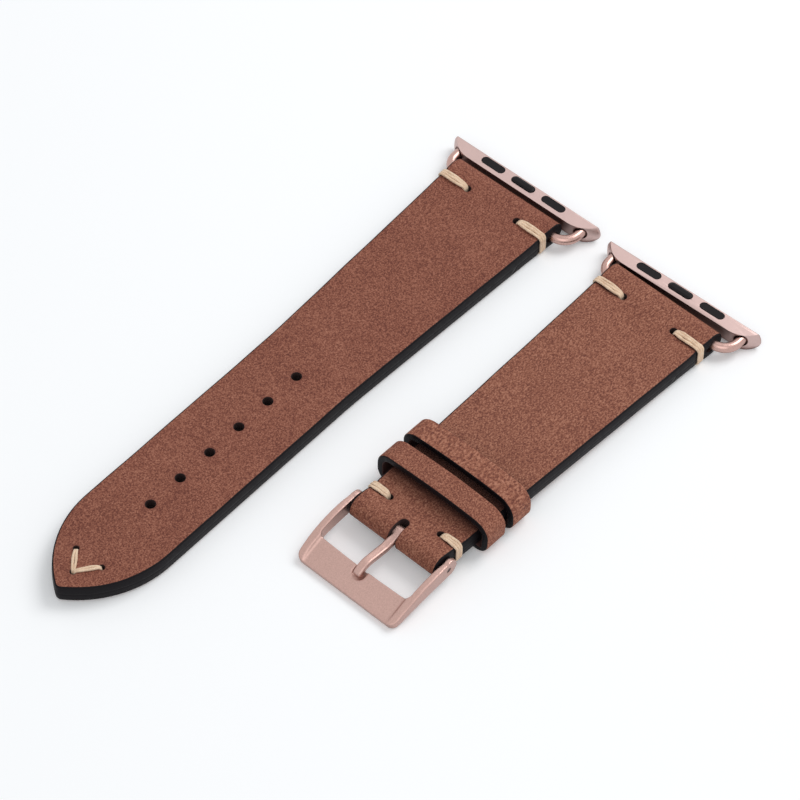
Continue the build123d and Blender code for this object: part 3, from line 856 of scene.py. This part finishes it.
def build_long_leather():
    """Top leather and lining of the long half, with a spear tip and six punched holes."""
    join_x = -(tip_start + (tip_round / (tip_round - tip_nose_radius)) * nose_reach)
    join_angle = math.atan2(tip_round - tail_half, nose_reach)
    angles = np.linspace(join_angle, -join_angle, 11)[1:-1]
    nose = np.stack([nose_x - tip_nose_radius * np.cos(angles), tip_nose_radius * np.sin(angles)], 1)
    holes = [(-(first_hole_reach + number * punched_hole_pitch), 0.0, punched_hole_radius)
             for number in range(punched_hole_count)]
    holes += [(tip_stitch_top, side * tip_stitch_top_across, tip_hole_radius) for side in (1, -1)]
    holes.append((tip_stitch_point, 0.0, tip_hole_radius))
    through = [circle_loop(*hole) for hole in holes]
    lug_holes = []
    for side in (1, -1):
        lug_holes += stitch_holes(side, long_stitch_x, lug_stitch_across, lug_turn)
    stations = side_stations(join_x, lug_turn - lining_front, join_x, -fold_margin)
    level_x = np.minimum(stations, lug_loop_reach)
    level_x = np.where(stations > lug_turn, lug_turn - stations, level_x)
    widths = pinched(long_half_width(np.minimum(level_x, 0.0)), level_x, [long_stitch_x])
    dip = stitch_dips([(long_stitch_x, lug_stitch_across, long_half_width(long_stitch_x))])
    loops = [strip_outline(stations, widths, nose), *through, *lug_holes]
    rims = [edge_round] + [hole_round] * (len(loops) - 1)
    build_top("long", "leather", loops, rims, stations, dip)

    stations = side_stations(join_x, lining_front, join_x, lining_front)
    loops = [strip_outline(stations, long_half_width(stations), nose), *through]
    build_lining("long", loops, rims[:len(loops)], stations)


def build_short_leather():
    """Top leather and lining of the short half, folded round a bar at each end and slotted."""
    holes = []
    for side in (1, -1):
        holes += stitch_holes(side, short_stitch_x, lug_stitch_across, lug_turn)
        holes += stitch_holes(side, buckle_stitch_x, buckle_stitch_across, buckle_turn, bar_x, -1.0)
    slot = slot_loop(bar_x - buckle_turn - slot_heel, bar_x + slot_heel)
    stations = side_stations(bar_x - buckle_turn - buckle_turn_under, lug_turn - lining_front,
                             bar_x + fold_margin, -fold_margin)
    x = np.where(stations > lug_turn, lug_turn - stations, np.minimum(stations, 0.0))
    x = np.where(stations < bar_x, np.maximum(bar_x, 2 * bar_x - buckle_turn - stations), x)
    widths = pinched(short_half_width(x), x, [short_stitch_x, buckle_stitch_x])
    dip = stitch_dips([(short_stitch_x, lug_stitch_across, short_half_width(short_stitch_x)),
                       (buckle_stitch_x, buckle_stitch_across, short_half_width(buckle_stitch_x))])
    loops = [strip_outline(stations, widths), slot, *holes]
    rims = [edge_round, slot_round] + [hole_round] * len(holes)
    build_top("short", "short_leather", loops, rims, stations, dip)

    back = bar_x + buckle_turn_under
    stations = side_stations(back, lining_front, back, lining_front)
    build_lining("short", [strip_outline(stations, short_half_width(stations))], [edge_round], stations)


# Thread

def stitch_path(near, far, high, low, bow):
    """Closed loop of a stitch in its upright plane, from the hole over the top and back below."""
    corner = thread_corner
    centres = [(near + corner, low + corner, 180, 270), (far - corner, low + corner, 270, 360),
               (far - corner, high - corner, 0, 90), (near + corner, high - corner, 90, 180)]
    points = []
    for x, z, start, end in centres:
        for angle in np.radians(np.linspace(start, end, 7)):
            points.append((x + corner * math.cos(angle), z + corner * math.sin(angle)))
    points = np.array(points)
    filled = []
    for first, second in zip(points, np.roll(points, -1, 0)):
        count = max(1, int(np.linalg.norm(second - first) / thread_step))
        filled += [first + (second - first) * k / count for k in range(count)]
    filled = np.array(filled)
    share = (filled[:, 0] - near) / (far - near)
    upper = filled[:, 1] > (high + low) / 2
    filled[:, 1] += np.where(upper, bow * np.sin(math.pi * np.clip(share, 0, 1)), 0)
    return filled


def strand_mesh(centres, side, half_width, half_thickness, count=12):
    """Closed ring of thread with an oval section and a slow two-ply twist."""
    number = len(centres)
    forward = np.roll(centres, -1, 0) - np.roll(centres, 1, 0)
    forward /= np.linalg.norm(forward, axis=1)[:, None]
    sides = side - forward * (side * forward).sum(1)[:, None]
    sides /= np.linalg.norm(sides, axis=1)[:, None]
    normals = np.cross(forward, sides)
    length = np.concatenate([[0], np.cumsum(np.linalg.norm(np.diff(centres, axis=0), axis=1))])
    angles = np.arange(count) * 2 * math.pi / count
    points, uvs = [], []
    for i in range(number):
        ply = 1 + ply_depth * np.cos(2 * angles - 2 * math.pi * length[i] / ply_pitch)
        across = half_width[i] * ply * np.cos(angles)
        up = half_thickness[i] * ply * np.sin(angles)
        points.append(centres[i] + across[:, None] * sides[i] + up[:, None] * normals[i])
        uvs += [(length[i], a / (2 * math.pi) + 0.12 * length[i]) for a in angles]
    return np.concatenate(points), ring_faces(number, count), uvs


def build_stitch(name, half, node, origin, heading, path, count, width, pinch):
    """Strands side by side that follow one stitch. Pinch is their share of spread at each end."""
    heading = np.array([*heading, 0.0])
    side = np.array([-heading[1], heading[0], 0.0])
    all_points, all_faces, all_uvs = [], [], []
    middle = (path[:, 1].max() + path[:, 1].min()) / 2
    near, far = path[:, 0].min(), path[:, 0].max()
    share = (path[:, 0] - near) / (far - near)
    total = 0
    for number in range(count):
        rank = number - (count - 1) / 2
        wobble = strand_wobble * np.sin(5.0 * share + 2.1 * number + len(name)) * np.sin(math.pi * share)
        spread = pinch[0] + (1 - pinch[0]) * smooth_step(share / pinch_run)
        spread = spread * (pinch[1] + (1 - pinch[1]) * smooth_step((1 - share) / pinch_run))
        offset = rank * width * strand_pitch_share * spread + wobble
        lift = strand_lift * math.cos(1.7 * number + len(name)) - strand_side_drop * abs(rank)
        up = np.where(path[:, 1] > middle, lift, 0)
        centres = (np.array([*origin, 0.0]) + path[:, :1] * heading + offset[:, None] * side
                   + (path[:, 1] + up)[:, None] * np.array([0.0, 0.0, 1.0]))
        half_width = width / 2 * (0.82 + 0.18 * spread)
        half_thickness = strand_thickness / 2 * (1.12 - 0.12 * spread)
        points, faces, uvs = strand_mesh(centres, side, half_width, half_thickness)
        all_points.append(points)
        all_faces += [tuple(i + total for i in face) for face in faces]
        all_uvs += uvs
        total += len(points)
    obj = add_object(name, np.concatenate(all_points), all_faces, places[half], ("thread",), uvs=all_uvs)
    settle(obj, f"{half}_strap", node)


def build_edge_stitches():
    """Stitches round the leather's sides, at both lug loops and at the buckle loop."""
    rows = [("long", "lug", long_stitch_x, lug_stitch_across, long_half_width),
            ("short", "lug", short_stitch_x, lug_stitch_across, short_half_width),
            ("short", "buckle", buckle_stitch_x, buckle_stitch_across, short_half_width)]
    for half, end, x, hole_y, half_width in rows:
        height = float(folds[half].half_height(x))
        near = hole_y + stitch_leg_inset - strand_thickness / 2
        far = half_width(x) + thread_lift
        path = stitch_path(near, far, height + thread_lift, strand_thickness / 2 - height, thread_bow)
        for way, word in ((1, "left"), (-1, "right")):
            build_stitch(f"{half}_{end}_thread_{word}", half, f"{half}_{end}_stitch_{word}", (x, 0.0),
                         (0.0, way), path, strand_count, strand_width, side_stitch_pinch)


def build_tip_stitch():
    """Two slanted stitches that meet in a point near the tip."""
    half = long_thickness / 2
    for way, word in ((1, "left"), (-1, "right")):
        start = np.array([tip_stitch_top, way * tip_stitch_top_across])
        end = np.array([tip_stitch_point, 0.0])
        length = np.linalg.norm(end - start)
        heading = (end - start) / length
        path = stitch_path(tip_thread_near, length - tip_thread_far, half + thread_lift,
                           strand_thickness / 2 - half, tip_thread_bow)
        build_stitch(f"tip_thread_{word}", "long", "tip_stitch", start, heading, path,
                     tip_strand_count, tip_strand_width, tip_stitch_pinch)


# Keepers

def arc_points(centre, radius, start, end, count):
    angles = np.radians(np.linspace(start, end, count))
    return [(centre[0] + radius * math.cos(a), centre[1] + radius * math.sin(a)) for a in angles]


def keeper_outline(inset):
    """Closed outline of a keeper seen from its end, drawn in from its outer face by an inset."""
    high = keeper_bottom + keeper_inner_height + 2 * keeper_wall
    crown = (keeper_half_width ** 2 + keeper_crown ** 2) / (2 * keeper_crown)
    crown_z = high + keeper_crown - crown
    shoulder_y = keeper_half_width - keeper_shoulder_radius
    shoulder_z = crown_z + math.sqrt((crown - keeper_shoulder_radius) ** 2 - shoulder_y ** 2)
    lean = math.degrees(math.atan2(shoulder_z - crown_z, shoulder_y))
    foot = keeper_foot_radius - keeper_foot_tighten * inset
    foot_y, foot_z = keeper_half_width - inset - foot, keeper_bottom + inset + foot
    left = arc_points((foot_y, foot_z), foot, -90, 0, 9)
    left += [(keeper_half_width - inset, z) for z in np.linspace(foot_z, shoulder_z, 6)[1:-1]]
    left += arc_points((shoulder_y, shoulder_z), keeper_shoulder_radius - inset, 0, lean, 13)
    top = arc_points((0, crown_z), crown - inset, lean, 180 - lean, 21)[1:-1]
    right = [(-y, z) for y, z in left[::-1]]
    bottom = [(y, keeper_bottom + inset) for y in np.linspace(-foot_y, foot_y, 17)[1:-1]]
    return np.array(left + top + right + bottom)


def build_keeper(name, x, grain, body, node, phase):
    """A leather band with rounded painted edges and a dark inside, which is drawn darker still as painted
    shade.
    """
    half = keeper_width / 2
    wrap, inner_count = 2, 3
    section = []
    turns = np.linspace(0, math.pi / 2, 6)
    for way in (-1, 1):
        side = [(way * (half - keeper_edge_round * (1 - math.sin(a))),
                 keeper_edge_round * (1 - math.cos(a))) for a in turns]
        lower = [(way * (half - keeper_inner_round * (1 - math.cos(a))),
                  keeper_wall - keeper_inner_round * (1 - math.sin(a))) for a in turns[::2]]
        section += (side + lower)[::way]
    flat = np.linspace(-half + keeper_edge_round, half - keeper_edge_round, 9)[1:-1]
    split = len(section) // 2
    section = section[:split] + [(v, 0.0) for v in flat] + section[split:]
    section += [(v, keeper_wall) for v in np.linspace(half, -half, inner_count + 2)[1:-1]]
    section_slots = [1] * len(section)
    for k in range(split - 1 - wrap, split + len(flat) + wrap):
        section_slots[k] = 0
    for k in range(-inner_count - 1 - wrap, wrap):
        section_slots[k] = 2
    rings = []
    for v, inset in section:
        outline = keeper_outline(inset)
        around = np.linspace(0, 2 * math.pi, len(outline), endpoint=False)
        sway = keeper_sway * np.sin(2 * around + phase) + keeper_ripple * np.sin(5 * around + 2 * phase)
        bulge = 1 + keeper_bulge * np.sin(3 * around + phase)
        along = x + v * bulge + sway * np.abs(v) / half
        rings.append(np.stack([along, outline[:, 0] + keeper_left, outline[:, 1]], 1))
    points = np.stack(rings, 1).reshape(-1, 3)
    number = len(rings[0])
    faces = [(a, d, c, b) for a, b, c, d in ring_faces(number, len(section))]
    obj = add_object(name, points, faces, short_place, (grain, "paint", "keeper_inside_shaded"),
                     section_slots * number)
    settle(obj, body, node)


# Metal

def smoothed(points, edges):
    """Points drawn halfway to the mean of their neighbours, again and again, which rounds the edges."""
    here, there = np.concatenate([edges, edges[:, ::-1]]).T
    count = np.bincount(here)[:, None]
    for _ in range(buckle_smoothing):
        total = np.zeros_like(points)
        np.add.at(total, here, points[there])
        points = (points + total / count) / 2
    return points


def round_edges(obj):
    """Rounds the sharp edges of a CAD node by modifiers, and keeps its mesh."""
    weld = obj.modifiers.new("weld", "WELD")
    weld.merge_threshold = weld_reach * mm
    bevel = obj.modifiers.new("edges", "BEVEL")
    bevel.width = adapter_edge_round * mm
    bevel.segments = 3
    bevel.limit_method = "ANGLE"
    bevel.angle_limit = math.radians(adapter_edge_angle)
    bevel.harden_normals = True


def buckle_place():
    """Place of the buckle, turned nose-down about its bar until its front edge is on the table."""
    swing = math.hypot(buckle_length, buckle_front_bottom)
    nose_down = math.asin(bar_height / swing) - math.atan2(buckle_front_bottom, buckle_length)
    pitch = math.asin(-short_place.to_3x3().normalized()[2][0])
    bar = Vector((bar_x, 0.0, 0.0))
    turn = Matrix.Rotation(-(nose_down + pitch), 4, "Y")
    return short_place @ Matrix.Translation(bar) @ turn @ Matrix.Translation(-bar)


def build_buckle():
    """The buckle frame: its CAD solid in fine even faces, with rounded edges."""
    place = buckle_place()
    source = frame["nodes"]["buckle_frame"].data.copy()
    source.transform(place.inverted())
    copy = add_to_scene("buckle_frame_source", source)
    remesh = copy.modifiers.new("even", "REMESH")
    remesh.mode = "VOXEL"
    remesh.voxel_size = buckle_voxel
    evaluated = copy.evaluated_get(bpy.context.evaluated_depsgraph_get())
    mesh = bpy.data.meshes.new_from_object(evaluated)
    points = np.zeros(len(mesh.vertices) * 3)
    mesh.vertices.foreach_get("co", points)
    edges = np.zeros(len(mesh.edges) * 2, np.int32)
    mesh.edges.foreach_get("vertices", edges)
    points = smoothed(points.reshape(-1, 3), edges.reshape(-1, 2))
    faces = [tuple(face.vertices) for face in mesh.polygons]
    bpy.data.objects.remove(copy)
    bpy.data.meshes.remove(mesh)
    obj = add_object("buckle_frame_brushed", points, faces, place, ("buckle",))
    settle(obj, "buckle", "buckle_frame")


node_materials = {
    "bail_metal": "bail", "buckle_metal": "buckle", "spring_steel": "steel",
    "pad_rubber": "pad", "button_plastic": "pad", "top_leather": "leather", "lining_leather": "lining",
    "keeper_leather": "keeper", "waxed_thread": "thread"}


def dress_nodes():
    """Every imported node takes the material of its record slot. An adapter has one of its own."""
    for part in frame["record"]["subparts"]:
        node = part["node"]
        look = node_materials.get(part["material_slot"], node.rsplit("_", 1)[0])
        if "bar_tip" in node:
            look = "tip_steel"
        for slot in frame["nodes"][node].material_slots:
            slot.material = materials[look]


# Stage

def aim(obj, place, heading):
    """Puts a lamp or the camera at a place, turned to look along a heading."""
    obj.location = place
    obj.rotation_mode = "QUATERNION"
    obj.rotation_quaternion = heading.to_track_quat("-Z", "Y")


def shown(tree, hidden_shader, shown_shader):
    """One shader where a thing is seen, straight, mirrored or through glass, and one for its light."""
    path = add_node(tree, "LightPath").node.outputs
    seen = math_node(tree, "MAXIMUM", path["Is Camera Ray"], path["Is Glossy Ray"])
    seen = math_node(tree, "MAXIMUM", seen, path["Is Transmission Ray"])
    return add_node(tree, "MixShader", {0: seen, 1: hidden_shader, 2: shown_shader})


def build_floor():
    """A plain pale floor with a faint glow of its own."""
    mesh = bpy.data.meshes.new("floor")
    corners = [(x * floor_half, y * floor_half, 0) for x, y in ((-1, -1), (1, -1), (1, 1), (-1, 1))]
    mesh.from_pydata(corners, [], [(0, 1, 2, 3)])
    material, tree = new_material("floor_white")
    diffuse = add_node(tree, "BsdfDiffuse", {"Color": rgba(floor_colour)})
    glow = add_node(tree, "Emission", {"Color": rgba(white), "Strength": floor_glow})
    both = add_node(tree, "AddShader", {0: diffuse, 1: glow})
    add_node(tree, "OutputMaterial", {0: shown(tree, diffuse, both)})
    mesh.materials.append(material)
    add_to_scene("floor", mesh)


def build_surround():
    """A surround that looks white and lights the strap softly."""
    world = bpy.data.worlds.new("surround")
    scene.world = world
    world.use_nodes = True
    tree = world.node_tree
    tree.nodes.clear()
    bright = add_node(tree, "Background", {"Color": rgba(white), "Strength": 1.0})
    soft = add_node(tree, "Background", {"Color": rgba(surround_colour), "Strength": surround_strength})
    add_node(tree, "OutputWorld", {0: shown(tree, soft, bright)})


def build_lamp(name, place, width, power):
    """A soft square lamp that points at the origin."""
    data = bpy.data.lights.new(name, "AREA")
    data.shape = "SQUARE"
    data.size = width
    data.energy = power
    aim(add_to_scene(name, data), place, -Vector(place))


def build_camera():
    """The camera at the photo's angle."""
    data = bpy.data.cameras.new("camera")
    data.lens = camera_lens
    turn, rise = math.radians(camera_azimuth), math.radians(camera_elevation)
    back = Vector((math.sin(turn) * math.cos(rise), -math.cos(turn) * math.cos(rise), math.sin(rise)))
    scene.camera = add_to_scene("camera", data)
    aim(scene.camera, Vector(camera_aim) * mm + back * camera_distance * mm, -back)


dress_nodes()
build_long_leather()
build_short_leather()
build_edge_stitches()
build_tip_stitch()
build_keeper("fixed_keeper_band", fixed_keeper_x, "keeper", "short_strap", "fixed_keeper", 0.4)
build_keeper("free_keeper_band", free_keeper_x, "free_keeper", "free_keeper", "free_keeper", 2.2)
build_buckle()
for half in ("long", "short"):
    round_edges(frame["nodes"][f"{half}_adapter_body"])
build_floor()
build_surround()
build_lamp("key", key_place, key_width, key_power)
build_lamp("fill", fill_place, fill_width, fill_power)
build_camera()
scene.view_settings.view_transform = "Standard"
